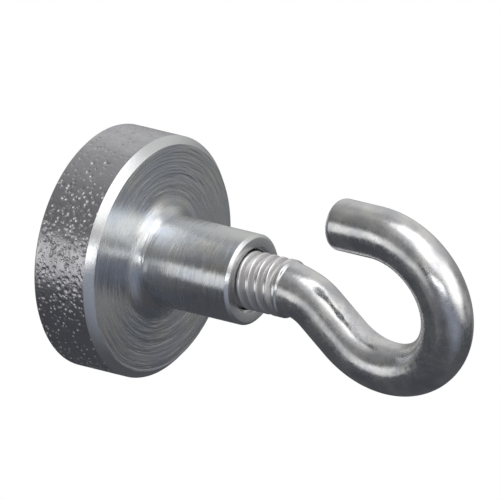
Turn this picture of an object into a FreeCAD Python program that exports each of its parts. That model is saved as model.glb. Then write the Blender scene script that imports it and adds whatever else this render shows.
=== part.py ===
"""Pot magnet with a screw-in hook, in millimetres.

A steel pot is turned in one piece with a tapped boss on its back. A disc magnet sits in the
pot, held by a ring of cast resin, and a hook bent from round rod is screwed into the boss.

The origin is the centre of the magnetic face. +Z runs along the boss towards the hook, and the
hook is bent in the XZ plane with its open tip on the -X side.
"""

import FreeCAD
import Part
import math
import os
from FreeCAD import Vector

# Pot, turned from bar: side wall, bevelled rim and flat back face
POT_DIAMETER = 16.0
POT_HEIGHT = 4.5
WALL_THICKNESS = 1.4
FLOOR_THICKNESS = 1.4
RIM_CHAMFER = 0.5
FOOT_CHAMFER = 0.15

# Boss on the back face, with its cove and its blind bore, cleared to the thread's full diameter
# as far as the tap reaches
BOSS_DIAMETER = 6.0
BOSS_LENGTH = 7.25
BOSS_CHAMFER = 0.2
BOSS_COVE_RADIUS = 1.2
DRILL_POINT_ANGLE = 118.0
WEB_THICKNESS = 1.4
TAP_LEAD = 1.0
COUNTERSINK_MARGIN = 0.2

# Metric thread that the bore and the hook share. Its groove begins to run out at an angle from
# +X, seen from above
THREAD_DIAMETER = 4.0
THREAD_PITCH = 0.7
THREAD_ANGLE = 60.0
CREST_CLEARANCE = 0.075
RUN_OUT_TURNS = 0.3
RUN_OUT_ANGLE = 200.0

# Disc magnet and the resin ring that holds it
MAGNET_RECESS = 0.1
MAGNET_BEVEL = 0.2
RESIN_WIDTH = 0.6
RESIN_RECESS = 0.2
FILM_GAP = 0.02

# Hook: threaded shank up to a shoulder that tapers into the rod, then neck bend, straight link,
# round eye and straight tip
ROD_DIAMETER = 3.4
THREAD_LENGTH = 6.0
THREAD_SHOWN = 2.9
SHOULDER_TAPER = 0.45
TAPER_SINK = 0.1
SHANK_CHAMFER = 0.45
NECK_BEND_RADIUS = 3.2
NECK_ANGLE = 45.0
LINK_LENGTH = 2.45
EYE_INSIDE_DIAMETER = 6.5
TIP_LENGTH = 3.05
TIP_EDGE_RADIUS = 0.5

# Places and radii that follow from the sizes above
pot_radius = POT_DIAMETER / 2
boss_radius = BOSS_DIAMETER / 2
boss_end = POT_HEIGHT + BOSS_LENGTH
cavity_radius = pot_radius - WALL_THICKNESS
cavity_depth = POT_HEIGHT - FLOOR_THICKNESS
magnet_radius = cavity_radius - RESIN_WIDTH
thread_radius = THREAD_DIAMETER / 2
drill_radius = (THREAD_DIAMETER - THREAD_PITCH) / 2
drill_point = cavity_depth + WEB_THICKNESS
drill_end = drill_point + drill_radius / math.tan(math.radians(DRILL_POINT_ANGLE / 2))
tap_end = drill_end + TAP_LEAD
rod_radius = ROD_DIAMETER / 2
shoulder = boss_end + THREAD_SHOWN
shank_end = shoulder - THREAD_LENGTH
eye_radius = EYE_INSIDE_DIAMETER / 2 + rod_radius

# Basic profile of the metric thread: its pitch line lies 3/8 of the sharp V's height below the
# nominal radius, and its root 5/16 of that height below the pitch line
flank_slope = math.tan(math.radians(THREAD_ANGLE / 2))
sharp_height = THREAD_PITCH / (2 * flank_slope)
pitch_radius = thread_radius - 3 / 8 * sharp_height
root_radius = pitch_radius - 5 / 16 * sharp_height
crest_radius = thread_radius - CREST_CLEARANCE


def groove_half_width(radius):
    """Half the groove's width along the axis, at a radius."""
    return THREAD_PITCH / 4 + (radius - pitch_radius) * flank_slope


# The groove has run out when its edge meets the shoulder, and it starts a turn or more before
# the shank
groove_end = shoulder - groove_half_width(thread_radius) - RUN_OUT_TURNS * THREAD_PITCH
groove_turns = math.ceil((groove_end - shank_end) / THREAD_PITCH) + 1
groove_start = groove_end - groove_turns * THREAD_PITCH


def outline(points):
    """A closed face in the XZ plane from (radius, height) corners."""
    corners = [Vector(radius, 0, height) for radius, height in points]
    return Part.Face(Part.makePolygon(corners + corners[:1]))


def revolved(face):
    """The face turned once round the Z axis."""
    return face.revolve(Vector(0, 0, 0), Vector(0, 0, 1), 360)


def edges_at(solid, radius, height):
    """The circular edges of a turned solid at that radius and height."""
    found = []
    for edge in solid.Edges:
        curve = edge.Curve
        if isinstance(curve, Part.Circle) and abs(curve.Radius - radius) < 1e-6:
            if abs(curve.Center.z - height) < 1e-6:
                found.append(edge)
    return found


def thread_groove():
    """Helical cutter with V flanks, from below the shank's end up to its run-out.

    Over the run-out, a share of a turn, it climbs by its own depth and so leaves the rod.
    """
    inside, outside = root_radius, thread_radius
    turns = Part.makeLongHelix(THREAD_PITCH, groove_end - groove_start, pitch_radius, 0)
    turns.translate(Vector(0, 0, groove_start))
    rise = RUN_OUT_TURNS * THREAD_PITCH
    cone_angle = math.degrees(math.atan((outside - inside) / rise))
    run_out = Part.makeLongHelix(THREAD_PITCH, rise, pitch_radius, cone_angle)
    run_out.rotate(Vector(0, 0, 0), Vector(0, 0, 1), 360 * groove_turns)
    run_out.translate(Vector(0, 0, groove_end))
    corners = [
        Vector(inside, 0, groove_start - groove_half_width(inside)),
        Vector(outside, 0, groove_start - groove_half_width(outside)),
        Vector(outside, 0, groove_start + groove_half_width(outside)),
        Vector(inside, 0, groove_start + groove_half_width(inside)),
    ]
    profile = Part.makePolygon(corners + corners[:1])
    groove = Part.Wire(turns.Edges + run_out.Edges).makePipeShell([profile], True, True)
    groove.rotate(Vector(0, 0, 0), Vector(0, 0, 1), RUN_OUT_ANGLE)
    return groove


def pot():
    """Pot and boss in one turned piece, with the cavity below and the bore above."""
    blank = revolved(outline([
        (0, 0),
        (pot_radius - FOOT_CHAMFER, 0),
        (pot_radius, FOOT_CHAMFER),
        (pot_radius, POT_HEIGHT - RIM_CHAMFER),
        (pot_radius - RIM_CHAMFER, POT_HEIGHT),
        (boss_radius, POT_HEIGHT),
        (boss_radius, boss_end - BOSS_CHAMFER),
        (boss_radius - BOSS_CHAMFER, boss_end),
        (0, boss_end),
    ]))
    blank = blank.makeFillet(BOSS_COVE_RADIUS, edges_at(blank, boss_radius, POT_HEIGHT))
    cavity = Part.makeCylinder(cavity_radius, cavity_depth)
    bore = revolved(outline([
        (0, drill_point),
        (drill_radius, drill_end),
        (drill_radius, tap_end),
        (thread_radius, tap_end),
        (thread_radius, boss_end - COUNTERSINK_MARGIN),
        (thread_radius + COUNTERSINK_MARGIN, boss_end),
        (0, boss_end),
    ]))
    return blank.cut(cavity).cut(bore)


def magnet():
    """Sintered disc with broken edges, seated on the floor of the cavity."""
    return revolved(outline([
        (0, MAGNET_RECESS),
        (magnet_radius - MAGNET_BEVEL, MAGNET_RECESS),
        (magnet_radius, MAGNET_RECESS + MAGNET_BEVEL),
        (magnet_radius, cavity_depth - MAGNET_BEVEL),
        (magnet_radius - MAGNET_BEVEL, cavity_depth),
        (0, cavity_depth),
    ]))


def resin_ring():
    """Resin cast between the magnet and the pot's wall, a little below the rim."""
    foot = Vector(0, 0, RESIN_RECESS)
    depth = cavity_depth - RESIN_RECESS
    ring = Part.makeCylinder(cavity_radius - FILM_GAP, depth, foot)
    return ring.cut(Part.makeCylinder(magnet_radius + FILM_GAP, depth, foot))


def hook_path():
    """Centreline of the bent rod in the XZ plane, as a wire, and the point where it ends."""
    edges = []
    point = Vector(0, 0, shoulder)
    heading = math.radians(90)

    def ahead(angle, distance):
        return Vector(math.cos(angle) * distance, 0, math.sin(angle) * distance)

    def straight(length):
        nonlocal point
        end = point + ahead(heading, length)
        edges.append(Part.makeLine(point, end))
        point = end

    def bend(radius, degrees):
        """Turns left for positive degrees and right for negative ones."""
        nonlocal point, heading
        turn = math.radians(degrees)
        side = math.copysign(math.pi / 2, turn)
        centre = point + ahead(heading + side, radius)
        middle = centre - ahead(heading + side + turn / 2, radius)
        end = centre - ahead(heading + side + turn, radius)
        edges.append(Part.Arc(point, middle, end).toShape())
        point, heading = end, heading + turn

    bend(NECK_BEND_RADIUS, -NECK_ANGLE)
    straight(LINK_LENGTH)
    bend(eye_radius, 180 + NECK_ANGLE)
    straight(TIP_LENGTH)
    return Part.Wire(edges), point


def hook():
    """Rod bent to an open eye, with a rolled thread on its shank."""
    shank = revolved(outline([
        (0, shank_end),
        (crest_radius - SHANK_CHAMFER, shank_end),
        (crest_radius, shank_end + SHANK_CHAMFER),
        (crest_radius, shoulder),
        (rod_radius - TAPER_SINK, shoulder + SHOULDER_TAPER),
        (0, shoulder + SHOULDER_TAPER),
    ]))
    section = Part.Wire(Part.makeCircle(rod_radius, Vector(0, 0, shoulder), Vector(0, 0, 1)))
    path, tip = hook_path()
    rod = path.makePipeShell([section], True, False)
    tip_rims = [e for e in rod.Edges if (e.CenterOfMass - tip).Length < rod_radius / 2]
    rod = rod.makeFillet(TIP_EDGE_RADIUS, tip_rims)
    return shank.cut(thread_groove()).fuse(rod)


def only_solid(shape):
    """The one solid of a shape, whether or not it is wrapped in a compound."""
    (solid,) = shape.Solids
    return solid


def main():
    os.makedirs("parts", exist_ok=True)
    for make in (pot, magnet, resin_ring, hook):
        solid = only_solid(make())
        solid.exportStep(f"parts/{make.__name__}.step")
        print(make.__name__, "valid" if solid.isValid() else "INVALID", round(solid.Volume, 3), "mm3")


main()
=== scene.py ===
"""Looks, light and camera for a pot magnet with a screw-in hook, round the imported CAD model.

The pot and the hook get finer meshes in place of their CAD solids, with broken edges, a pitted
side wall and a rolled thread. The magnet and its resin keep their solids and get a finish.
Sizes are in millimetres and become metres as a mesh is made.
"""

import math

import bmesh
import bpy
import numpy as np
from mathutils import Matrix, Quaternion, Vector


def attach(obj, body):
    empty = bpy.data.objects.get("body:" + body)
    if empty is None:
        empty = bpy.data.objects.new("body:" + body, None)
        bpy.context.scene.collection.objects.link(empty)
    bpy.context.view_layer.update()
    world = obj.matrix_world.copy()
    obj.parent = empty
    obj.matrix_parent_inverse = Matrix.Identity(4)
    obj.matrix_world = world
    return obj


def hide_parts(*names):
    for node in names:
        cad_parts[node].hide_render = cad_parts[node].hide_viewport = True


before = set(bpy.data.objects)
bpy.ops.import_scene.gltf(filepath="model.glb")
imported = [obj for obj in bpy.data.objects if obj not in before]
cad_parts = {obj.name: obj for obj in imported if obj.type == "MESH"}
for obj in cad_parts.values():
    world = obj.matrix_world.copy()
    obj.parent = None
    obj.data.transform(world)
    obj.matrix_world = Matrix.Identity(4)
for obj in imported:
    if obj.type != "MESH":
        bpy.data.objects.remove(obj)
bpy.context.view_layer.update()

MM = 0.001
SEED = 16

# Points of a piece that lie closer than the first distance become one, and lengths that differ by
# less than the second are the same
MERGE_DISTANCE = 0.0004
TOLERANCE = 1e-6

# Step in degrees between the points of a rounded corner, and the fewest that it gets
ARC_STEP = 12
ARC_POINTS = 4

# Metric thread that the bore and the hook share, as in the part's source. Its pitch line lies 3/8 of
# the sharp V's height below the nominal radius, and its root 5/16 of that height below that line
THREAD_RADIUS = 2.0
PITCH = 0.7
THREAD_ANGLE = math.radians(60)
FLANK_SLOPE = math.tan(THREAD_ANGLE / 2)
SHARP_HEIGHT = PITCH / (2 * FLANK_SLOPE)
PITCH_RADIUS = THREAD_RADIUS - 3 / 8 * SHARP_HEIGHT
ROOT_RADIUS = PITCH_RADIUS - 5 / 16 * SHARP_HEIGHT

# Pot and boss, as in the part's source
POT_RADIUS = 8.0
POT_HEIGHT = 4.5
WALL_THICKNESS = 1.4
FLOOR_THICKNESS = 1.4
RIM_CHAMFER = 0.5
FOOT_CHAMFER = 0.15
CAVITY_RADIUS = POT_RADIUS - WALL_THICKNESS
CAVITY_DEPTH = POT_HEIGHT - FLOOR_THICKNESS
BOSS_RADIUS = 3.0
BOSS_LENGTH = 7.25
BOSS_END = POT_HEIGHT + BOSS_LENGTH
BOSS_CHAMFER = 0.2
COVE_RADIUS = 1.2
WEB_THICKNESS = 1.4
DRILL_POINT_ANGLE = math.radians(118)
DRILL_RADIUS = THREAD_RADIUS - PITCH / 2
DRILL_POINT = CAVITY_DEPTH + WEB_THICKNESS
DRILL_END = DRILL_POINT + DRILL_RADIUS / math.tan(DRILL_POINT_ANGLE / 2)
TAP_LEAD = 1.0
TAP_END = DRILL_END + TAP_LEAD
COUNTERSINK = 0.2

# What the finer mesh adds: broken edges, a rounded corner in the cavity, and a tiny flat at the
# drill's point, where its rings would meet
EDGE_BREAK = 0.04
CAVITY_CORNER = 0.1
DRILL_FLAT = 0.001

# Kinds of face on the pot, in the order of its materials. The forged skin goes round the foot up to
# a height, and what lies within a margin of the bore's wall is drilled
FORGED, TURNED, DRILLED, FACED = range(4)
FOOT_SKIN = 0.1
BORE_MARGIN = 0.01

# Pits in the forged skin of the pot's side wall: the mesh's step up the wall and its steps round
# it, the pits' number, radii, depth as a share of the radius, margin from the wall's ends, stretch
# round the wall, and how many radii out each is worked out
WALL_STEP = 0.06
POT_STEPS = 740
PIT_COUNT = 1700
PIT_RADIUS = (0.07, 0.17)
PIT_DEPTH = 0.42
PIT_MARGIN = 0.1
PIT_STRETCH = (0.8, 1.3)
PIT_REACH = 1.6

# Lip that rounds off a pit's edge: its place and width as shares of the radius, and its height as a
# share of the pit's depth
LIP_PLACE = 1.15
LIP_WIDTH = 0.2
LIP_HEIGHT = 0.1

# The side wall is smoother where the cosine of the angle from +X is below a limit: a share of the
# pits is left out there, and the fine craters fade over a range of the cosine
SMOOTH_SIDE = -0.84
SMOOTH_SHARE = 0.7
SMOOTH_FADE = 0.1

# Hook, as in the part's source
ROD_RADIUS = 1.7
CREST_CLEARANCE = 0.075
CREST_RADIUS = THREAD_RADIUS - CREST_CLEARANCE
THREAD_LENGTH = 6.0
THREAD_SHOWN = 2.9
SHOULDER = BOSS_END + THREAD_SHOWN
SHANK_CHAMFER = 0.45
RUN_OUT_TURNS = 0.3
RUN_OUT_ANGLE = math.radians(200)
GROOVE_HALF_WIDTH = PITCH / 4 + (THREAD_RADIUS - PITCH_RADIUS) * FLANK_SLOPE
GROOVE_END = SHOULDER - GROOVE_HALF_WIDTH - RUN_OUT_TURNS * PITCH
NECK_BEND_RADIUS = 3.2
NECK_ANGLE = math.radians(45)
LINK_LENGTH = 2.45
EYE_RADIUS = 4.95
TIP_LENGTH = 3.05
TIP_EDGE_RADIUS = 0.5

# Shoulder between thread and rod: the length of its taper, then its bevel's height, the land before
# the bevel and the bevel's length
SHOULDER_TAPER = 1.1
SHOULDER_DROP = 0.11
SHOULDER_LAND = 0.03
SHOULDER_BEVEL = 0.1

# Kinds of face on the hook, in the order of its materials
PLATED, ROLLED = range(2)

# Mesh of the hook: points round it, rings to a turn of thread and how far the rolling rounds its
# profile, ring steps by the shoulder, on the neck and on the rest of the rod, the share of the neck
# bend that lies by the shoulder, and the rings of the rounded tip
ROD_STEPS = 190
THREAD_ROWS = 20
THREAD_ROUNDING = 0.15
SHOULDER_STEP = 0.03
NECK_STEP = 0.07
ROD_STEP = 0.16
SHOULDER_SHARE = 0.2
TIP_RINGS = 8

# Dents that the bending tool left on the neck: where they start and end along the rod from the
# shoulder, their angle round the rod and its spread, their number, radii, greatest depth and the
# shares of it that they have
DENT_RUN = (1.6, 4.3)
DENT_ANGLE = math.radians(193)
DENT_SPREAD = math.radians(11)
DENT_COUNT = 22
DENT_RADIUS = (0.1, 0.22)
DENT_DEPTH = 0.011
DENT_SHARE = (0.3, 1)

# Matt patch where the tool rubbed the inside of the bend: its middle and its reach
RUBBED_MIDDLE = Vector((1.7, 0.9, 20.3))
RUBBED_REACH = (1.4, 1.9)

# Crests of the thread, burnished bright from the first depth below them to the second
BURNISHED_DEPTH = (0.06, 0.01)

# Camera, fitted to the photograph's edges, and the nearest and farthest that it sees
VIEW_AZIMUTH = math.radians(-33.51)
VIEW_ELEVATION = math.radians(33.5)
VIEW_ROLL = math.radians(103.56)
VIEW_DISTANCE = 1200.0
AIM = Vector((1.2513, 5.2078, 7.6043))
PIXELS_PER_MM = 15.449
FRAME_PIXELS = 500
SENSOR_WIDTH = 36.0
NEAREST = 10.0
FARTHEST = 10000.0

# Half the side of the floor
FLOOR_REACH = 800.0

# Walls of the studio: their light below and above a height in the photo's view, as the sine of its
# angle, and the width over which one turns into the other
WALL_LOW = ("#F0F3FF", 0.098)
WALL_HIGH = ("#FFFFFF", 0.262)
WALL_EDGE = (-0.1, 0.16)

# Softboxes, each named for what it lights most. It has the angles across and above that it is seen
# at from the object, in the photo's view, and its turn, in degrees. Then come its half width, half
# height and soft edge as shares of its distance, its strength and its colour. A negative strength
# makes it a dark panel
SOFTBOXES = {
    "neck and eye from above": (19, 63, 9, 0.3, 0.23, 0.35, 1.66, "#FFFFFF"),
    "link": (31, 43, -55, 0.2, 0.51, 0.54, 1.38, "#FFFFFF"),
    "cove and closed side of the eye": (62, 8, -2, 0.47, 0.5, 0.63, 1.42, "#FFFFFF"),
    "sheen on the back face": (103, 4, -27, 0.49, 0.19, 0.08, 0.16, "#FFFFFF"),
    "spark on the bevelled rim": (12, -13, 1, 0.27, 0.1, 0.09, 2.08, "#FFFFFF"),
    "glow on the bevelled rim": (25, 17, -23, 0.16, 0.19, 0.17, 0.73, "#FFFFFF"),
    "tip and neck from below": (-45, -14, -30, 0.37, 0.22, 0.26, 0.62, "#FFFFFF"),
    "band on the side wall": (-74, -6, -8, 0.28, 0.25, 0.16, 0.7, "#FFFFFF"),
    "open side of the eye": (-25, -37, 19, 0.7, 0.18, 0.22, 0.11, "#FFFFFF"),
    "shade on the side wall": (-75, 22, -23, 0.64, 0.15, 0.3, -0.1, "#FFFFFF"),
    "blue glow on the rim and the cove": (37, -42, -22, 0.64, 0.3, 0.94, 0.32, "#DDE8FF"),
    "faint light on the back face": (89, -21, 19, 0.36, 0.06, 0.1, 0.27, "#FFFFFF"),
    "tip and neck from above": (3, 33, 27, 0.35, 0.68, 0.41, 0.33, "#FFFFFF"),
    "link and eye from behind": (140, 55, -15, 1.0, 0.57, 0.66, 0.4, "#FFFFFF"),
    "side wall from behind": (-114, 64, 49, 0.98, 0.29, 0.48, 0.16, "#FFFFFF"),
}

# Least depth that a ray's slope towards a softbox is worked out with
LEAST_DEPTH = 0.001


def linear(hex_colour):
    """Linear RGBA from an sRGB hex colour."""
    channels = [int(hex_colour[i:i + 2], 16) / 255 for i in (1, 3, 5)]
    return tuple(c / 12.92 if c <= 0.04045 else ((c + 0.055) / 1.055) ** 2.4 for c in channels) + (1.0,)


def linear_light(hex_colour, strength):
    """Linear RGBA of a light of that colour and strength."""
    return tuple(c * strength for c in linear(hex_colour)[:3]) + (1.0,)


def node(tree, kind, settings, inputs):
    """Adds a node, sets its properties, and sets or links its inputs."""
    made = tree.nodes.new(kind)
    for name, value in settings.items():
        setattr(made, name, value)
    for name, value in inputs.items():
        if isinstance(value, bpy.types.NodeSocket):
            tree.links.new(value, made.inputs[name])
        else:
            made.inputs[name].default_value = value
    return made


def new_material(name):
    """An empty node material and its tree."""
    material = bpy.data.materials.new(name)
    material.use_nodes = True
    material.node_tree.nodes.clear()
    return material, material.node_tree


def rounded_profile(corners):
    """Profile line through (radius, height, round) corners, each turned into an arc.

    An arc gets a point about every ARC_STEP degrees, and a corner with no round stays sharp.
    """
    line = []
    for i, (radius, height, round_radius) in enumerate(corners):
        corner = np.array([radius, height])
        if i in (0, len(corners) - 1) or round_radius == 0:
            line.append(corner)
            continue
        before = np.array(corners[i - 1][:2]) - corner
        after = np.array(corners[i + 1][:2]) - corner
        before /= np.linalg.norm(before)
        after /= np.linalg.norm(after)
        half = math.acos(np.clip(before @ after, -1, 1)) / 2
        middle = before + after
        centre = corner + middle / np.linalg.norm(middle) * round_radius / math.sin(half)
        start = corner + before * round_radius / math.tan(half) - centre
        end = corner + after * round_radius / math.tan(half) - centre
        sweep = math.pi - 2 * half
        count = max(ARC_POINTS, round(math.degrees(sweep) / ARC_STEP) + 1)
        for share in np.linspace(0, 1, count):
            turned = start * math.sin((1 - share) * sweep) + end * math.sin(share * sweep)
            line.append(centre + turned / math.sin(sweep))
    return np.array(line)


def skin(count, steps, first, lead):
    """Quads of a skin of rings, whose points start at a number and climb by `lead` rings a turn."""
    rows = np.arange(count - 1 - lead)[:, None] * steps + first
    column = np.arange(steps)[None, :]
    after = (column + 1) % steps + np.where(column == steps - 1, lead * steps, 0)
    quads = [rows + column, rows + after, rows + steps + after, rows + steps + column]
    return np.stack(quads, -1).reshape(-1, 4).tolist()


def make_piece(name, points, faces, kinds, materials):
    """Smooth mesh piece with a material for each kind of face, and its coinciding points merged."""
    mesh = bpy.data.meshes.new(name)
    mesh.from_pydata((points * MM).tolist(), [], faces)
    for material in materials:
        mesh.materials.append(material)
    mesh.polygons.foreach_set("material_index", kinds)
    merged = bmesh.new()
    merged.from_mesh(mesh)
    bmesh.ops.remove_doubles(merged, verts=merged.verts, dist=MERGE_DISTANCE * MM)
    merged.to_mesh(mesh)
    merged.free()
    mesh.shade_smooth()
    piece = bpy.data.objects.new(name, mesh)
    bpy.context.scene.collection.objects.link(piece)
    return piece


def pits(angles, heights, random):
    """Depth of the side wall's pits over a grid of angles and heights.

    A pit's lip lowers the depth, so it is below zero round the pit, and rounds the bowl's edge.
    """
    depth = np.zeros((len(heights), len(angles)))
    step = angles[1] - angles[0]
    low, high = heights[0] + PIT_MARGIN, heights[-1] - PIT_MARGIN
    smallest, largest = PIT_RADIUS
    for _ in range(PIT_COUNT):
        angle = random.uniform(0, 2 * math.pi)
        if math.cos(angle) < SMOOTH_SIDE and random.random() < SMOOTH_SHARE:
            continue
        height = random.uniform(low, high)
        radius = random.triangular(smallest, smallest, largest)
        stretch = random.uniform(*PIT_STRETCH)
        across = (angles - angle + math.pi) % (2 * math.pi) - math.pi
        near_angle = np.nonzero(np.abs(across) * POT_RADIUS < radius * PIT_REACH + step)[0]
        near_height = np.nonzero(np.abs(heights - height) < radius * PIT_REACH)[0]
        sideways = across[near_angle] * POT_RADIUS / stretch
        upward = heights[near_height] - height
        share = np.sqrt(sideways[None, :] ** 2 + upward[:, None] ** 2) / radius
        bowl = np.clip(1 - share ** 2, 0, 1) * PIT_DEPTH * radius
        lip = np.exp(-((share - LIP_PLACE) / LIP_WIDTH) ** 2) * LIP_HEIGHT * PIT_DEPTH * radius
        patch = np.ix_(near_height, near_angle)
        depth[patch] = np.maximum(depth[patch], bowl) - lip * (depth[patch] <= 0)
    return depth


def make_pot():
    """Turned pot and boss with the pitted side wall and the blind bore."""
    wall_top = POT_HEIGHT - RIM_CHAMFER
    corners = [
        (0, CAVITY_DEPTH, 0),
        (CAVITY_RADIUS, CAVITY_DEPTH, CAVITY_CORNER),
        (CAVITY_RADIUS, 0, EDGE_BREAK),
        (POT_RADIUS - FOOT_CHAMFER, 0, EDGE_BREAK),
        (POT_RADIUS, FOOT_CHAMFER, EDGE_BREAK),
        (POT_RADIUS, wall_top, EDGE_BREAK),
        (POT_RADIUS - RIM_CHAMFER, POT_HEIGHT, EDGE_BREAK),
        (BOSS_RADIUS, POT_HEIGHT, COVE_RADIUS),
        (BOSS_RADIUS, BOSS_END - BOSS_CHAMFER, EDGE_BREAK),
        (BOSS_RADIUS - BOSS_CHAMFER, BOSS_END, EDGE_BREAK),
        (THREAD_RADIUS + COUNTERSINK, BOSS_END, EDGE_BREAK),
        (THREAD_RADIUS, BOSS_END - COUNTERSINK, EDGE_BREAK),
        (THREAD_RADIUS, TAP_END, 0),
        (DRILL_RADIUS, TAP_END, 0),
        (DRILL_RADIUS, DRILL_END, 0),
        (DRILL_FLAT, DRILL_POINT, 0),
    ]
    line = rounded_profile(corners)
    on_wall = np.nonzero(np.abs(line[:, 0] - POT_RADIUS) < TOLERANCE)[0]
    low, high = on_wall[0], on_wall[-1]
    wall = np.linspace(line[low], line[high], round((line[high, 1] - line[low, 1]) / WALL_STEP))
    line = np.vstack([line[:low], wall, line[high + 1:]])
    angles = np.linspace(0, 2 * math.pi, POT_STEPS, endpoint=False)
    radii = np.repeat(line[:, :1], POT_STEPS, 1)
    rows = slice(low, low + len(wall))
    depth = pits(angles, wall[:, 1], np.random.default_rng(SEED))
    # Nothing stands proud of the CAD's wall
    radii[rows] -= np.clip(depth, 0, None)
    heights = np.repeat(line[:, 1:], POT_STEPS, 1)
    rings = np.stack([radii * np.cos(angles), radii * np.sin(angles), heights], -1)
    middle = (line[1:] + line[:-1]) / 2
    kinds = np.full(len(middle), TURNED)
    kinds[rows.start - 1:rows.stop] = FORGED
    kinds[middle[:, 1] < FOOT_SKIN] = FORGED
    rim = (middle[:, 0] > POT_RADIUS - RIM_CHAMFER) & (middle[:, 1] > wall_top)
    boss_rim = middle[:, 1] > BOSS_END - COUNTERSINK
    kinds[rim | boss_rim] = FACED
    above_cavity = middle[:, 1] > CAVITY_DEPTH + BORE_MARGIN
    kinds[(middle[:, 0] < THREAD_RADIUS + BORE_MARGIN) & above_cavity] = DRILLED
    materials = [forged_skin(), turned_steel(), shaded_bore_steel(), faced_edge()]
    faces = skin(len(line), POT_STEPS, 0, 0)
    kinds = np.repeat(kinds, POT_STEPS)
    piece = make_piece("pot_turned", rings.reshape(-1, 3), faces, kinds, materials)
    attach(piece, "root")
    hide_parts("pot")


def hook_line():
    """Points of the rod's centreline past the shoulder and their headings, then its end and heading.

    They lie in the XZ plane. A run is a straight of a length, or a bend of a radius and a turn.
    """
    points, headings = [], []
    point = np.array([0.0, SHOULDER])
    heading = math.pi / 2
    runs = [
        (NECK_BEND_RADIUS, -NECK_ANGLE * SHOULDER_SHARE, SHOULDER_STEP),
        (NECK_BEND_RADIUS, -NECK_ANGLE * (1 - SHOULDER_SHARE), NECK_STEP),
        (LINK_LENGTH, 0, NECK_STEP),
        (EYE_RADIUS, math.pi + NECK_ANGLE, ROD_STEP),
        (TIP_LENGTH - TIP_EDGE_RADIUS, 0, ROD_STEP),
    ]
    for size, turn, step in runs:
        length = size * abs(turn) if turn else size
        steps = round(length / step)
        for share in np.arange(steps) / steps:
            points.append(run_point(point, heading, size, turn, share))
            headings.append(heading + turn * share)
        point = run_point(point, heading, size, turn, 1)
        heading += turn
    return np.array(points), np.array(headings), point, heading


def run_point(start, heading, size, turn, share):
    """Point at a share of a straight run, or of a bend of that radius and turn."""
    if not turn:
        return start + size * share * np.array([math.cos(heading), math.sin(heading)])
    side = math.copysign(math.pi / 2, turn)
    centre = start + size * np.array([math.cos(heading + side), math.sin(heading + side)])
    angle = heading + side + turn * share
    return centre - size * np.array([math.cos(angle), math.sin(angle)])


def thread_radius(height, angle):
    """Radius of the threaded shank, with its groove and run-out."""
    phase = GROOVE_END - PITCH * RUN_OUT_ANGLE / (2 * math.pi)
    turn = np.round((height - phase) / PITCH - angle / (2 * math.pi))
    turned = turn + angle / (2 * math.pi)
    groove = phase + PITCH * turned
    last = (GROOVE_END - phase) / PITCH
    fade = np.clip((last + RUN_OUT_TURNS - turned) / RUN_OUT_TURNS, 0, 1)
    aside = np.abs(height - groove)
    flank = PITCH_RADIUS + (aside - PITCH / 4) / FLANK_SLOPE
    share = (flank - ROOT_RADIUS) / (CREST_RADIUS - ROOT_RADIUS)
    share = np.clip((share + THREAD_ROUNDING) / (1 + 2 * THREAD_ROUNDING), 0, 1)
    below = (CREST_RADIUS - ROOT_RADIUS) * (1 - share ** 2 * (3 - 2 * share))
    return CREST_RADIUS - below * fade


def dents(walked, angles, random):
    """Depth of the dents on the neck over a grid of places along the rod and angles round it."""
    depth = np.zeros((len(walked), len(angles)))
    for _ in range(DENT_COUNT):
        along = walked - random.uniform(*DENT_RUN)
        around = (angles - DENT_ANGLE - random.uniform(-DENT_SPREAD, DENT_SPREAD)) * ROD_RADIUS
        radius = random.uniform(*DENT_RADIUS)
        share = (along[:, None] ** 2 + around[None, :] ** 2) / radius ** 2
        depth += random.uniform(*DENT_SHARE) * DENT_DEPTH * np.exp(-share)
    return depth


def threaded_shank(angles):
    """Rings of the shank, which climb with the thread and are cut off level at both ends."""
    shank_end = SHOULDER - THREAD_LENGTH
    rise = PITCH / THREAD_ROWS
    rows = math.ceil((THREAD_LENGTH + PITCH) / rise) + THREAD_ROWS + 1
    heights = shank_end - PITCH + rise * np.arange(rows)[:, None] + PITCH * angles / (2 * math.pi)
    heights = np.clip(heights, shank_end, SHOULDER)
    radii = thread_radius(heights, angles)
    radii = np.minimum(radii, CREST_RADIUS - SHANK_CHAMFER + heights - shank_end)
    radii[heights >= SHOULDER] = CREST_RADIUS
    return np.stack([radii * np.cos(angles), radii * np.sin(angles), heights], -1)


def bent_rod(angles):
    """Rings of the rod from the shoulder to the rounded tip, square to its centreline."""
    centres, headings, tip, tip_heading = hook_line()
    walked = np.concatenate([[0], np.cumsum(np.linalg.norm(np.diff(centres, axis=0), axis=1))])
    taper = np.clip(1 - walked / SHOULDER_TAPER, 0, 1)
    bevel = np.clip(1 - (walked - SHOULDER_LAND) / SHOULDER_BEVEL, 0, 1)
    rod_radii = ROD_RADIUS + SHOULDER_DROP * bevel
    rod_radii += (CREST_RADIUS - SHOULDER_DROP - ROD_RADIUS) * taper ** 2
    dented = rod_radii[:, None] - dents(walked, angles, np.random.default_rng(SEED))
    round_angles = np.linspace(0, math.pi / 2, TIP_RINGS)
    ahead = np.array([math.cos(tip_heading), math.sin(tip_heading)])
    tip_centres = tip + TIP_EDGE_RADIUS * np.sin(round_angles)[:, None] * ahead
    tip_radii = ROD_RADIUS - TIP_EDGE_RADIUS + TIP_EDGE_RADIUS * np.cos(round_angles)
    centres = np.vstack([centres, tip_centres])
    headings = np.concatenate([headings, np.full(len(tip_centres), tip_heading)])[:, None]
    radii = np.vstack([dented, np.repeat(tip_radii[:, None], len(angles), 1)])
    sideways = centres[:, :1] + radii * np.cos(angles) * np.sin(headings)
    upward = centres[:, 1:] - radii * np.cos(angles) * np.cos(headings)
    return np.stack([sideways, radii * np.sin(angles), upward], -1)


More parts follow.
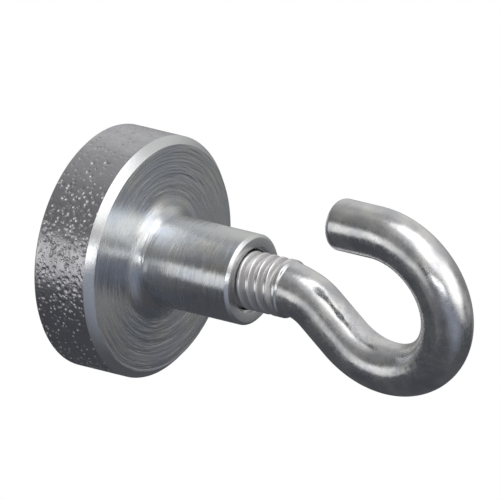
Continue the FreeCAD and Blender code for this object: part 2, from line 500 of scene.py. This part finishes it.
def make_hook():
    """Bent rod with its rolled thread, shoulder and rounded tip, as one skin."""
    angles = np.linspace(0, 2 * math.pi, ROD_STEPS, endpoint=False)
    shank, rod = threaded_shank(angles), bent_rod(angles)
    rod_first = shank.shape[0] * ROD_STEPS
    shank_centre = rod_first + rod.shape[0] * ROD_STEPS
    tip_centre = shank_centre + 1
    centres = [shank[0].mean(0), rod[-1].mean(0)]
    points = np.vstack([shank.reshape(-1, 3), rod.reshape(-1, 3), *centres])
    shank_faces = skin(shank.shape[0], ROD_STEPS, 0, THREAD_ROWS)
    faces = shank_faces + skin(rod.shape[0], ROD_STEPS, rod_first, 0)
    last = shank_centre - ROD_STEPS
    for column in range(ROD_STEPS):
        after = (column + 1) % ROD_STEPS
        faces.append([shank_centre, after, column])
        faces.append([tip_centre, last + column, last + after])
    kinds = np.full(len(faces), PLATED)
    kinds[:len(shank_faces)] = ROLLED
    piece = make_piece("hook_bent_rod", points, faces, kinds, [zinc_plate(), rolled_thread()])
    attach(piece, "root")
    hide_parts("hook")


def from_axis(tree):
    """Height of the shaded point, its place in the XY plane and its distance from the Z axis."""
    here = node(tree, "ShaderNodeTexCoord", {}, {}).outputs["Object"]
    parts = node(tree, "ShaderNodeSeparateXYZ", {}, {"Vector": here}).outputs
    flat = node(tree, "ShaderNodeCombineXYZ", {}, {
        "X": parts["X"],
        "Y": parts["Y"],
    }).outputs["Vector"]
    radius = node(tree, "ShaderNodeVectorMath", {"operation": "LENGTH"}, {0: flat}).outputs["Value"]
    return parts["Z"], flat, radius


def lathe_place(tree, round_share):
    """Place on a turned surface: along its profile, and round the axis by a small share.

    Height less radius grows steadily along the profile, from the rim over the face and the cove
    to the end of the boss, so a noise of it draws the rings that a lathe tool leaves.
    """
    height, flat, radius = from_axis(tree)
    along = node(tree, "ShaderNodeMath", {"operation": "SUBTRACT"}, {0: height, 1: radius}).outputs[0]
    outward = node(tree, "ShaderNodeVectorMath", {"operation": "NORMALIZE"}, {0: flat}).outputs[0]
    turned = node(tree, "ShaderNodeVectorMath", {"operation": "SCALE"}, {
        0: outward,
        "Scale": round_share,
    }).outputs[0]
    turned_parts = node(tree, "ShaderNodeSeparateXYZ", {}, {"Vector": turned}).outputs
    return node(tree, "ShaderNodeCombineXYZ", {}, {
        "X": along,
        "Y": turned_parts["X"],
        "Z": turned_parts["Y"],
    }).outputs["Vector"]


def forged_skin():
    """Forged steel skin of the side wall: dull and mottled, full of small craters whose floors hold
    painted glints.
    """
    material, tree = new_material("forged_skin")
    here = node(tree, "ShaderNodeTexCoord", {}, {}).outputs["Object"]
    mottle = node(tree, "ShaderNodeTexNoise", {}, {
        "Vector": here,
        "Scale": 1 / (0.9 * MM),
        "Detail": 4.0,
        "Roughness": 0.6,
    }).outputs["Fac"]
    grain = node(tree, "ShaderNodeTexNoise", {}, {
        "Vector": here,
        "Scale": 1 / (0.16 * MM),
        "Detail": 3.0,
        "Roughness": 0.6,
    }).outputs["Fac"]
    # A crater is about 0.2 mm across, and cells 0.36 mm apart leave bare skin between craters
    cell = node(tree, "ShaderNodeTexVoronoi", {}, {
        "Vector": here,
        "Scale": 1 / (0.36 * MM),
    }).outputs["Distance"]
    across = node(tree, "ShaderNodeSeparateXYZ", {}, {"Vector": here}).outputs["X"]
    pitted = node(tree, "ShaderNodeMapRange", {"interpolation_type": "SMOOTHSTEP"}, {
        "Value": across,
        "From Min": (SMOOTH_SIDE - SMOOTH_FADE) * POT_RADIUS * MM,
        "From Max": (SMOOTH_SIDE + SMOOTH_FADE) * POT_RADIUS * MM,
        "To Min": 0.15,
        "To Max": 1.0,
    }).outputs["Result"]
    floor = node(tree, "ShaderNodeMapRange", {"interpolation_type": "SMOOTHSTEP"}, {
        "Value": cell,
        "From Min": 0.16,
        "From Max": 0.3,
        "To Min": 1.0,
        "To Max": 0.0,
    }).outputs["Result"]
    crater_and_glint = node(tree, "ShaderNodeMath", {"operation": "MULTIPLY"}, {0: floor, 1: pitted}).outputs[0]
    mottled = node(tree, "ShaderNodeMix", {"data_type": "RGBA"}, {
        "Factor": mottle,
        6: linear("#ACACB1"),
        7: linear("#D8D7DA"),
    }).outputs[2]
    # Crater floors get a pale colour: painted glints in the pits
    colour = node(tree, "ShaderNodeMix", {"data_type": "RGBA"}, {
        "Factor": crater_and_glint,
        6: mottled,
        7: linear("#F2F0EE"),
    }).outputs[2]
    relief = node(tree, "ShaderNodeMath", {"operation": "MULTIPLY_ADD"}, {
        0: crater_and_glint,
        1: -2.2,
        2: grain,
    }).outputs[0]
    normal = node(tree, "ShaderNodeBump", {}, {
        "Strength": 0.8,
        "Distance": 0.02 * MM,
        "Height": relief,
    }).outputs["Normal"]
    gloss = node(tree, "ShaderNodeMapRange", {}, {
        "Value": mottle,
        "From Min": 0.3,
        "From Max": 0.7,
        "To Min": 0.32,
        "To Max": 0.2,
    }).outputs["Result"]
    # The floor of a crater is painted pale and less metal, a painted glint that looks bright from every
    # side
    metal = node(tree, "ShaderNodeMath", {"operation": "MULTIPLY_ADD"}, {
        0: crater_and_glint,
        1: -0.7,
        2: 1.0,
    }).outputs[0]
    shader = node(tree, "ShaderNodeBsdfPrincipled", {}, {
        "Base Color": colour,
        "Metallic": metal,
        "Roughness": gloss,
        "Normal": normal,
    })
    node(tree, "ShaderNodeOutputMaterial", {}, {"Surface": shader.outputs["BSDF"]})
    return material


def turned_steel():
    """Steel as it leaves the lathe: bright, with feed rings, and glossier along them than across."""
    material, tree = new_material("turned_steel")
    rings = node(tree, "ShaderNodeTexNoise", {}, {
        "Vector": lathe_place(tree, 0.5 * MM),
        "Scale": 1 / (0.3 * MM),
        "Detail": 3.0,
        "Roughness": 0.6,
    }).outputs["Fac"]
    # Feed marks are 0.05 mm apart on the real pot, and are drawn coarser so that they show
    feed = node(tree, "ShaderNodeTexNoise", {}, {
        "Vector": lathe_place(tree, 0.3 * MM),
        "Scale": 1 / (0.09 * MM),
        "Detail": 2.0,
    }).outputs["Fac"]
    cloud = node(tree, "ShaderNodeTexNoise", {}, {
        "Vector": lathe_place(tree, 6 * MM),
        "Scale": 1 / (3.0 * MM),
        "Detail": 2.0,
    }).outputs["Fac"]
    relief = node(tree, "ShaderNodeMath", {"operation": "MULTIPLY_ADD"}, {
        0: feed,
        1: 0.3,
        2: rings,
    }).outputs[0]
    normal = node(tree, "ShaderNodeBump", {}, {
        "Strength": 1.0,
        "Distance": 0.04 * MM,
        "Height": relief,
    }).outputs["Normal"]
    gloss = node(tree, "ShaderNodeMapRange", {}, {
        "Value": rings,
        "From Min": 0.35,
        "From Max": 0.65,
        "To Min": 0.18,
        "To Max": 0.3,
    }).outputs["Result"]
    stain = node(tree, "ShaderNodeMapRange", {}, {
        "Value": cloud,
        "From Min": 0.35,
        "From Max": 0.65,
        "To Min": 0.0,
        "To Max": 1.0,
    }).outputs["Result"]
    colour = node(tree, "ShaderNodeMix", {"data_type": "RGBA"}, {
        "Factor": stain,
        6: linear("#C9CED5"),
        7: linear("#D9D9D6"),
    }).outputs[2]
    # Feed rings run round the Z axis, and so does the sheen along them
    sheen = node(tree, "ShaderNodeTangent", {
        "direction_type": "RADIAL",
        "axis": "Z",
    }, {}).outputs["Tangent"]
    shader = node(tree, "ShaderNodeBsdfPrincipled", {}, {
        "Base Color": colour,
        "Metallic": 1.0,
        "Roughness": gloss,
        "Anisotropic": 0.7,
        "Anisotropic Rotation": 0.25,
        "Normal": normal,
        "Tangent": sheen,
    })
    node(tree, "ShaderNodeOutputMaterial", {}, {"Surface": shader.outputs["BSDF"]})
    return material


def faced_edge():
    """Chamfers and the boss's end, cut last with a coarse feed: bright, and scattering on their ribs."""
    material, tree = new_material("faced_edge")
    ribs = node(tree, "ShaderNodeTexNoise", {}, {
        "Vector": lathe_place(tree, 3 * MM),
        "Scale": 1 / (0.12 * MM),
        "Detail": 3.0,
        "Roughness": 0.6,
    }).outputs["Fac"]
    normal = node(tree, "ShaderNodeBump", {}, {
        "Strength": 0.7,
        "Distance": 0.01 * MM,
        "Height": ribs,
    }).outputs["Normal"]
    colour = node(tree, "ShaderNodeMix", {"data_type": "RGBA"}, {
        "Factor": ribs,
        6: linear("#D6D8DA"),
        7: linear("#ECECEB"),
    }).outputs[2]
    shader = node(tree, "ShaderNodeBsdfPrincipled", {}, {
        "Base Color": colour,
        "Metallic": 1.0,
        "Roughness": 0.22,
        "Normal": normal,
    })
    node(tree, "ShaderNodeOutputMaterial", {}, {"Surface": shader.outputs["BSDF"]})
    return material


def shaded_bore_steel():
    """Bore wall in the boss: steel with rings from the drill, its colour darkened as painted shade
    inside the bore.
    """
    material, tree = new_material("shaded_bore_steel")
    rings = node(tree, "ShaderNodeTexNoise", {}, {
        "Vector": lathe_place(tree, 0.5 * MM),
        "Scale": 1 / (0.15 * MM),
        "Detail": 2.0,
    }).outputs["Fac"]
    normal = node(tree, "ShaderNodeBump", {}, {
        "Strength": 0.5,
        "Distance": 0.02 * MM,
        "Height": rings,
    }).outputs["Normal"]
    # These dark colours are painted shade for the inside of the bore
    colour = node(tree, "ShaderNodeMix", {"data_type": "RGBA"}, {
        "Factor": rings,
        6: linear("#66676A"),
        7: linear("#8C8D8E"),
    }).outputs[2]
    shader = node(tree, "ShaderNodeBsdfPrincipled", {}, {
        "Base Color": colour,
        "Metallic": 1.0,
        "Roughness": 0.4,
        "Normal": normal,
    })
    node(tree, "ShaderNodeOutputMaterial", {}, {"Surface": shader.outputs["BSDF"]})
    return material


def zinc_plate():
    """Zinc on drawn rod: satin bright, cloudy in its gloss, slightly wavy, with a matt rubbed patch."""
    material, tree = new_material("zinc_plate")
    here = node(tree, "ShaderNodeTexCoord", {}, {}).outputs["Object"]
    cloud = node(tree, "ShaderNodeTexNoise", {}, {
        "Vector": here,
        "Scale": 1 / (1.5 * MM),
        "Detail": 4.0,
    }).outputs["Fac"]
    grain = node(tree, "ShaderNodeTexNoise", {}, {
        "Vector": here,
        "Scale": 1 / (0.25 * MM),
        "Detail": 2.0,
    }).outputs["Fac"]
    wave = node(tree, "ShaderNodeBump", {}, {
        "Strength": 0.6,
        "Distance": 0.05 * MM,
        "Height": cloud,
    }).outputs["Normal"]
    normal = node(tree, "ShaderNodeBump", {}, {
        "Strength": 0.5,
        "Distance": 0.006 * MM,
        "Height": grain,
        "Normal": wave,
    }).outputs["Normal"]
    tone = node(tree, "ShaderNodeMapRange", {}, {
        "Value": cloud,
        "From Min": 0.35,
        "From Max": 0.65,
        "To Min": 0.0,
        "To Max": 1.0,
    }).outputs["Result"]
    colour = node(tree, "ShaderNodeMix", {"data_type": "RGBA"}, {
        "Factor": tone,
        6: linear("#C8C9CD"),
        7: linear("#EAE9E7"),
    }).outputs[2]
    gloss = node(tree, "ShaderNodeMapRange", {}, {
        "Value": grain,
        "From Min": 0.3,
        "From Max": 0.7,
        "To Min": 0.16,
        "To Max": 0.3,
    }).outputs["Result"]
    aside = node(tree, "ShaderNodeVectorMath", {"operation": "DISTANCE"}, {
        0: here,
        1: RUBBED_MIDDLE * MM,
    }).outputs["Value"]
    rubbed = node(tree, "ShaderNodeMapRange", {"interpolation_type": "SMOOTHSTEP"}, {
        "Value": aside,
        "From Min": RUBBED_REACH[0] * MM,
        "From Max": RUBBED_REACH[1] * MM,
        "To Min": 0.28,
        "To Max": 0.0,
    }).outputs["Result"]
    roughness = node(tree, "ShaderNodeMath", {"operation": "ADD"}, {0: gloss, 1: rubbed}).outputs[0]
    shader = node(tree, "ShaderNodeBsdfPrincipled", {}, {
        "Base Color": colour,
        "Metallic": 1.0,
        "Roughness": roughness,
        "Normal": normal,
    })
    node(tree, "ShaderNodeOutputMaterial", {}, {"Surface": shader.outputs["BSDF"]})
    return material


def rolled_thread():
    """Rolled thread: burnished bright on its crests, satin and a little warm on flanks and roots."""
    material, tree = new_material("rolled_thread")
    here = node(tree, "ShaderNodeTexCoord", {}, {}).outputs["Object"]
    _, _, radius = from_axis(tree)
    crest = node(tree, "ShaderNodeMapRange", {"interpolation_type": "SMOOTHSTEP"}, {
        "Value": radius,
        "From Min": (CREST_RADIUS - BURNISHED_DEPTH[0]) * MM,
        "From Max": (CREST_RADIUS - BURNISHED_DEPTH[1]) * MM,
        "To Min": 0.0,
        "To Max": 1.0,
    }).outputs["Result"]
    grain = node(tree, "ShaderNodeTexNoise", {}, {
        "Vector": here,
        "Scale": 1 / (0.15 * MM),
        "Detail": 2.0,
    }).outputs["Fac"]
    normal = node(tree, "ShaderNodeBump", {}, {
        "Strength": 0.5,
        "Distance": 0.003 * MM,
        "Height": grain,
    }).outputs["Normal"]
    satin = node(tree, "ShaderNodeMix", {"data_type": "RGBA"}, {
        "Factor": grain,
        6: linear("#D7D5D5"),
        7: linear("#E3E1E1"),
    }).outputs[2]
    colour = node(tree, "ShaderNodeMix", {"data_type": "RGBA"}, {
        "Factor": crest,
        6: satin,
        7: linear("#F0F0F0"),
    }).outputs[2]
    gloss = node(tree, "ShaderNodeMapRange", {}, {
        "Value": crest,
        "From Min": 0.0,
        "From Max": 1.0,
        "To Min": 0.5,
        "To Max": 0.24,
    }).outputs["Result"]
    shader = node(tree, "ShaderNodeBsdfPrincipled", {}, {
        "Base Color": colour,
        "Metallic": 1.0,
        "Roughness": gloss,
        "Normal": normal,
    })
    node(tree, "ShaderNodeOutputMaterial", {}, {"Surface": shader.outputs["BSDF"]})
    return material


def nickel_plate():
    """Nickel on a sintered magnet: mirror bright, warm, with a soft orange peel."""
    material, tree = new_material("nickel_plate")
    here = node(tree, "ShaderNodeTexCoord", {}, {}).outputs["Object"]
    peel = node(tree, "ShaderNodeTexNoise", {}, {
        "Vector": here,
        "Scale": 1 / (0.5 * MM),
        "Detail": 3.0,
    }).outputs["Fac"]
    normal = node(tree, "ShaderNodeBump", {}, {
        "Strength": 0.4,
        "Distance": 0.01 * MM,
        "Height": peel,
    }).outputs["Normal"]
    colour = node(tree, "ShaderNodeMix", {"data_type": "RGBA"}, {
        "Factor": peel,
        6: linear("#CFC8BC"),
        7: linear("#DDD8CE"),
    }).outputs[2]
    gloss = node(tree, "ShaderNodeMapRange", {}, {
        "Value": peel,
        "From Min": 0.3,
        "From Max": 0.7,
        "To Min": 0.12,
        "To Max": 0.22,
    }).outputs["Result"]
    shader = node(tree, "ShaderNodeBsdfPrincipled", {}, {
        "Base Color": colour,
        "Metallic": 1.0,
        "Roughness": gloss,
        "Normal": normal,
    })
    node(tree, "ShaderNodeOutputMaterial", {}, {"Surface": shader.outputs["BSDF"]})
    return material


def cast_resin():
    """Poured epoxy resin: dark grey, glossy, with a slight ripple."""
    material, tree = new_material("cast_resin")
    here = node(tree, "ShaderNodeTexCoord", {}, {}).outputs["Object"]
    ripple = node(tree, "ShaderNodeTexNoise", {}, {
        "Vector": here,
        "Scale": 1 / (0.8 * MM),
        "Detail": 2.0,
    }).outputs["Fac"]
    normal = node(tree, "ShaderNodeBump", {}, {
        "Strength": 0.4,
        "Distance": 0.03 * MM,
        "Height": ripple,
    }).outputs["Normal"]
    colour = node(tree, "ShaderNodeMix", {"data_type": "RGBA"}, {
        "Factor": ripple,
        6: linear("#3A3B3D"),
        7: linear("#4A4B4D"),
    }).outputs[2]
    gloss = node(tree, "ShaderNodeMapRange", {}, {
        "Value": ripple,
        "From Min": 0.3,
        "From Max": 0.7,
        "To Min": 0.25,
        "To Max": 0.4,
    }).outputs["Result"]
    shader = node(tree, "ShaderNodeBsdfPrincipled", {}, {
        "Base Color": colour,
        "Roughness": gloss,
        "IOR": 1.55,
        "Normal": normal,
    })
    node(tree, "ShaderNodeOutputMaterial", {}, {"Surface": shader.outputs["BSDF"]})
    return material


def finish_hidden_nodes():
    """Gives the magnet and its resin, whose solids stay as they are, a finish."""
    for name, material in (("magnet", nickel_plate()), ("resin_ring", cast_resin())):
        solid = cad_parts[name]
        solid.data.materials.clear()
        solid.data.materials.append(material)


def make_floor():
    """Pale floor that only the camera sees, so that the metal reflects the lights alone."""
    mesh = bpy.data.meshes.new("floor")
    reach = FLOOR_REACH * MM
    corners = [(-reach, -reach, 0), (reach, -reach, 0), (reach, reach, 0), (-reach, reach, 0)]
    mesh.from_pydata(corners, [], [(0, 1, 2, 3)])
    floor = bpy.data.objects.new("floor", mesh)
    bpy.context.scene.collection.objects.link(floor)
    material, tree = new_material("pale_floor")
    shader = node(tree, "ShaderNodeEmission", {}, {"Color": (1, 1, 1, 1), "Strength": 1.0})
    node(tree, "ShaderNodeOutputMaterial", {}, {"Surface": shader.outputs["Emission"]})
    mesh.materials.append(material)
    floor.visible_glossy = False
    floor.visible_diffuse = False
    floor.visible_shadow = False


def make_camera():
    """Camera at the photograph's angle, far off through a long lens."""
    data = bpy.data.cameras.new("camera")
    data.sensor_width = SENSOR_WIDTH
    data.lens = PIXELS_PER_MM * VIEW_DISTANCE / FRAME_PIXELS * SENSOR_WIDTH
    data.clip_start = NEAREST * MM
    data.clip_end = FARTHEST * MM
    camera = bpy.data.objects.new("camera", data)
    bpy.context.scene.collection.objects.link(camera)
    back = Vector((
        math.sin(VIEW_AZIMUTH) * math.cos(VIEW_ELEVATION),
        -math.cos(VIEW_AZIMUTH) * math.cos(VIEW_ELEVATION),
        math.sin(VIEW_ELEVATION),
    ))
    camera.location = (AIM + back * VIEW_DISTANCE) * MM
    camera.rotation_mode = "QUATERNION"
    camera.rotation_quaternion = (-back).to_track_quat("-Z", "Y") @ Quaternion((0, 0, 1), VIEW_ROLL)
    bpy.context.scene.camera = camera


def softbox_axes(across, above, turned):
    """Direction to a softbox and the directions of its two sides, from its place in the photo's view."""
    picture = bpy.context.scene.camera.rotation_quaternion
    across, above, turned = (math.radians(angle) for angle in (across, above, turned))
    facing = Vector((
        math.cos(above) * math.sin(across),
        math.sin(above),
        math.cos(above) * math.cos(across),
    ))
    level = Vector((math.cos(across), 0, -math.sin(across)))
    upright = facing.cross(level)
    side = level * math.cos(turned) + upright * math.sin(turned)
    rise = upright * math.cos(turned) - level * math.sin(turned)
    return [picture @ axis for axis in (facing, side, rise)]


def with_softbox(tree, ray, light, name, softbox):
    """The studio's light with one more softbox in it: a rectangle with soft edges, far off."""
    across, above, turned, half_width, half_height, soft, strength, colour = softbox
    facing, side, rise = softbox_axes(across, above, turned)
    depth = node(tree, "ShaderNodeVectorMath", {"operation": "DOT_PRODUCT"}, {
        0: ray,
        1: facing,
    }).outputs["Value"]
    ahead = node(tree, "ShaderNodeMath", {"operation": "MAXIMUM"}, {0: depth, 1: LEAST_DEPTH}).outputs[0]
    share = node(tree, "ShaderNodeMath", {"operation": "GREATER_THAN"}, {0: depth, 1: 0.0}).outputs[0]
    for axis, half in ((side, half_width), (rise, half_height)):
        offset = node(tree, "ShaderNodeVectorMath", {"operation": "DOT_PRODUCT"}, {
            0: ray,
            1: axis,
        }).outputs["Value"]
        slope = node(tree, "ShaderNodeMath", {"operation": "DIVIDE"}, {0: offset, 1: ahead}).outputs[0]
        reach = node(tree, "ShaderNodeMath", {"operation": "ABSOLUTE"}, {0: slope}).outputs[0]
        edge = node(tree, "ShaderNodeMapRange", {"interpolation_type": "SMOOTHSTEP"}, {
            "Value": reach,
            "From Min": half - soft / 2,
            "From Max": half + soft / 2,
            "To Min": 1.0,
            "To Max": 0.0,
        }).outputs["Result"]
        share = node(tree, "ShaderNodeMath", {"operation": "MULTIPLY"}, {0: share, 1: edge}).outputs[0]
    lit = node(tree, "ShaderNodeVectorMath", {"operation": "SCALE"}, {
        0: linear_light(colour, strength)[:3],
        "Scale": share,
    }).outputs[0]
    return node(tree, "ShaderNodeVectorMath", {"operation": "ADD", "label": name}, {
        0: light,
        1: lit,
    }).outputs[0]


def make_studio():
    """Soft studio light: walls that are dim below and less so above, and the softboxes."""
    world = bpy.data.worlds.new("studio")
    bpy.context.scene.world = world
    world.use_nodes = True
    tree = world.node_tree
    tree.nodes.clear()
    ray = node(tree, "ShaderNodeTexCoord", {}, {}).outputs["Generated"]
    up = bpy.context.scene.camera.rotation_quaternion @ Vector((0, 1, 0))
    height, width = WALL_EDGE
    rise = node(tree, "ShaderNodeVectorMath", {"operation": "DOT_PRODUCT"}, {
        0: ray,
        1: up,
    }).outputs["Value"]
    upper = node(tree, "ShaderNodeMapRange", {"interpolation_type": "SMOOTHSTEP"}, {
        "Value": rise,
        "From Min": height - width / 2,
        "From Max": height + width / 2,
        "To Min": 0.0,
        "To Max": 1.0,
    }).outputs["Result"]
    light = node(tree, "ShaderNodeMix", {"data_type": "RGBA"}, {
        "Factor": upper,
        6: linear_light(*WALL_LOW),
        7: linear_light(*WALL_HIGH),
    }).outputs[2]
    for name, softbox in SOFTBOXES.items():
        light = with_softbox(tree, ray, light, name, softbox)
    # The camera sees a white background in place of the lights
    seen = node(tree, "ShaderNodeLightPath", {}, {}).outputs["Is Camera Ray"]
    shown = node(tree, "ShaderNodeMix", {"data_type": "RGBA"}, {
        "Factor": seen,
        6: light,
        7: (1, 1, 1, 1),
    }).outputs[2]
    background = node(tree, "ShaderNodeBackground", {}, {"Color": shown, "Strength": 1.0})
    node(tree, "ShaderNodeOutputWorld", {}, {"Surface": background.outputs["Background"]})


make_camera()
make_studio()
make_floor()
make_pot()
make_hook()
finish_hidden_nodes()
bpy.context.scene.view_settings.view_transform = "Standard"
